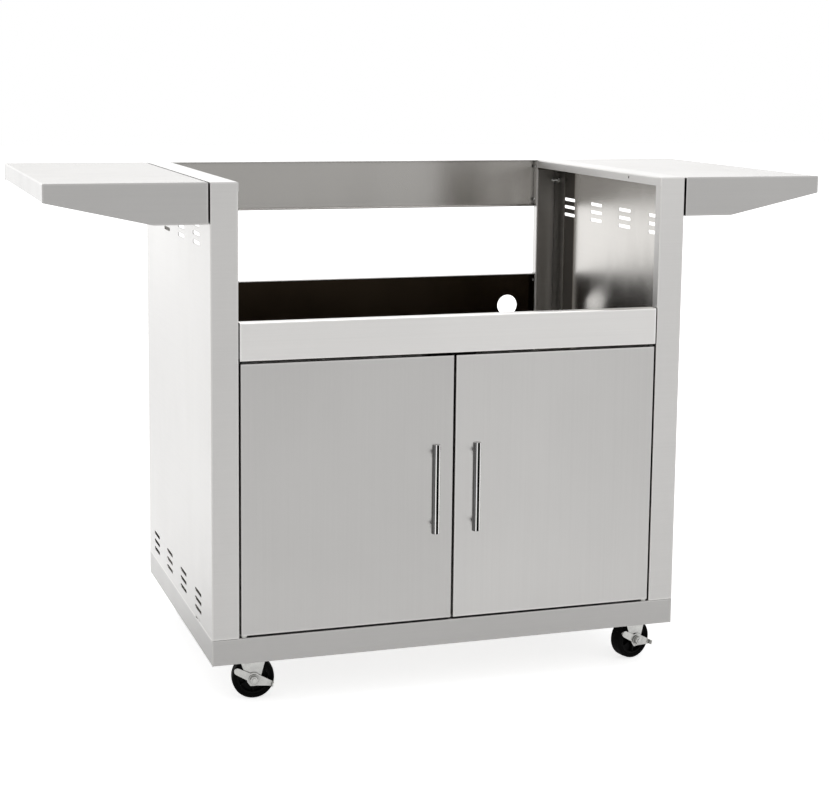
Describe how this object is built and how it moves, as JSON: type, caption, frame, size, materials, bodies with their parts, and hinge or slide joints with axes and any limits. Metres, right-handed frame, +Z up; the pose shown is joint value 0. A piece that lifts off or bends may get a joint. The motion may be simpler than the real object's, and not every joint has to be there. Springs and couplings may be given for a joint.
{
  "type": "grill cart",
  "caption": "Stainless steel cart with two doors, side shelves and swivel castors, open on top to take a built-in grill head.",
  "frame": {"origin": "middle of the object's plan, on the floor under the wheels", "axes": "+X to the right seen from the front, +Y to the back, +Z up"},
  "size_m": [1.416, 0.621, 0.91],
  "materials": {
    "brushed_steel": "brushed stainless sheet",
    "polished_steel": "polished stainless bar",
    "galvanised_steel": "galvanised sheet",
    "zinc": "bright zinc plating",
    "black_plastic": "moulded, fine grain",
    "black_rubber": "smooth rubber",
    "nylon": "natural nylon"
  },
  "bodies": {
    "cart": {"left_side_panel": "brushed_steel", "right_side_panel": "brushed_steel", "base_pan": "brushed_steel", "left_castor_channel": "galvanised_steel", "right_castor_channel": "galvanised_steel", "front_apron": "brushed_steel", "apron_spacers": "galvanised_steel", "rear_top_rail": "brushed_steel", "rear_panel": "brushed_steel", "left_shelf": "brushed_steel", "right_shelf": "brushed_steel", "left_shelf_spacers": "black_plastic", "right_shelf_spacers": "black_plastic", "shelf_bolts": "zinc", "panel_screws": "zinc", "base_bolts": "zinc", "castor_bolts": "zinc", "castor_kingpins": "zinc", "lower_hinge_pins": "zinc", "upper_hinge_pins": "zinc", "catch_housing": "black_plastic", "catch_magnets": "galvanised_steel", "front_left_castor_plate": "zinc", "front_right_castor_plate": "zinc", "rear_left_castor_plate": "zinc", "rear_right_castor_plate": "zinc"},
    "left_door": {"left_door_panel": "brushed_steel", "left_door_liner": "brushed_steel", "left_door_bushings": "nylon", "left_door_strike_plate": "zinc", "left_handle_bar": "polished_steel", "left_handle_posts": "polished_steel", "left_handle_screws": "zinc"},
    "right_door": {"right_door_panel": "brushed_steel", "right_door_liner": "brushed_steel", "right_door_bushings": "nylon", "right_door_strike_plate": "zinc", "right_handle_bar": "polished_steel", "right_handle_posts": "polished_steel", "right_handle_screws": "zinc"},
    "front_left_swivel": {"front_left_castor_fork": "zinc", "front_left_castor_axle": "zinc"},
    "front_left_roller": {"front_left_wheel": "black_plastic", "front_left_tyre": "black_rubber"},
    "front_right_swivel": {"front_right_castor_fork": "zinc", "front_right_castor_axle": "zinc"},
    "front_right_roller": {"front_right_wheel": "black_plastic", "front_right_tyre": "black_rubber"},
    "rear_left_swivel": {"rear_left_castor_fork": "zinc", "rear_left_castor_axle": "zinc"},
    "rear_left_roller": {"rear_left_wheel": "black_plastic", "rear_left_tyre": "black_rubber"},
    "rear_right_swivel": {"rear_right_castor_fork": "zinc", "rear_right_castor_axle": "zinc"},
    "rear_right_roller": {"rear_right_wheel": "black_plastic", "rear_right_tyre": "black_rubber"},
    "front_left_brake": {"front_left_brake_lever": "zinc"},
    "front_right_brake": {"front_right_brake_lever": "zinc"}
  },
  "joints": [
    {"name": "left_door_swing", "type": "hinge", "parent": "cart", "child": "left_door", "pos_m": [-0.378, -0.2835, 0.366], "axis": [0, 0, 1], "range_deg": [-105, 0]},
    {"name": "right_door_swing", "type": "hinge", "parent": "cart", "child": "right_door", "pos_m": [0.378, -0.2835, 0.366], "axis": [0, 0, 1], "range_deg": [0, 105]},
    {"name": "front_left_castor_swivel", "type": "hinge", "parent": "cart", "child": "front_left_swivel", "pos_m": [-0.366, -0.2315, 0.09], "axis": [0, 0, 1], "continuous": true},
    {"name": "front_left_wheel_spin", "type": "hinge", "parent": "front_left_swivel", "child": "front_left_roller", "pos_m": [-0.35111, -0.23333, 0.0375], "axis": [0.1219, 0.9925, 0], "continuous": true},
    {"name": "front_left_brake_press", "type": "hinge", "parent": "front_left_swivel", "child": "front_left_brake", "pos_m": [-0.35111, -0.23333, 0.0375], "axis": [0.1219, 0.9925, 0], "range_deg": [0, 10]},
    {"name": "front_right_castor_swivel", "type": "hinge", "parent": "cart", "child": "front_right_swivel", "pos_m": [0.366, -0.2315, 0.09], "axis": [0, 0, 1], "continuous": true},
    {"name": "front_right_wheel_spin", "type": "hinge", "parent": "front_right_swivel", "child": "front_right_roller", "pos_m": [0.38042, -0.22737, 0.0375], "axis": [-0.2756, 0.9613, 0], "continuous": true},
    {"name": "front_right_brake_press", "type": "hinge", "parent": "front_right_swivel", "child": "front_right_brake", "pos_m": [0.38042, -0.22737, 0.0375], "axis": [-0.2756, 0.9613, 0], "range_deg": [0, 10]},
    {"name": "rear_left_castor_swivel", "type": "hinge", "parent": "cart", "child": "rear_left_swivel", "pos_m": [-0.366, 0.2525, 0.09], "axis": [0, 0, 1], "continuous": true},
    {"name": "rear_left_wheel_spin", "type": "hinge", "parent": "rear_left_swivel", "child": "rear_left_roller", "pos_m": [-0.35158, 0.25664, 0.0375], "axis": [-0.2756, 0.9613, 0], "continuous": true},
    {"name": "rear_right_castor_swivel", "type": "hinge", "parent": "cart", "child": "rear_right_swivel", "pos_m": [0.366, 0.2525, 0.09], "axis": [0, 0, 1], "continuous": true},
    {"name": "rear_right_wheel_spin", "type": "hinge", "parent": "rear_right_swivel", "child": "rear_right_roller", "pos_m": [0.38067, 0.24938, 0.0375], "axis": [0.2079, 0.9781, 0], "continuous": true}
  ]
}
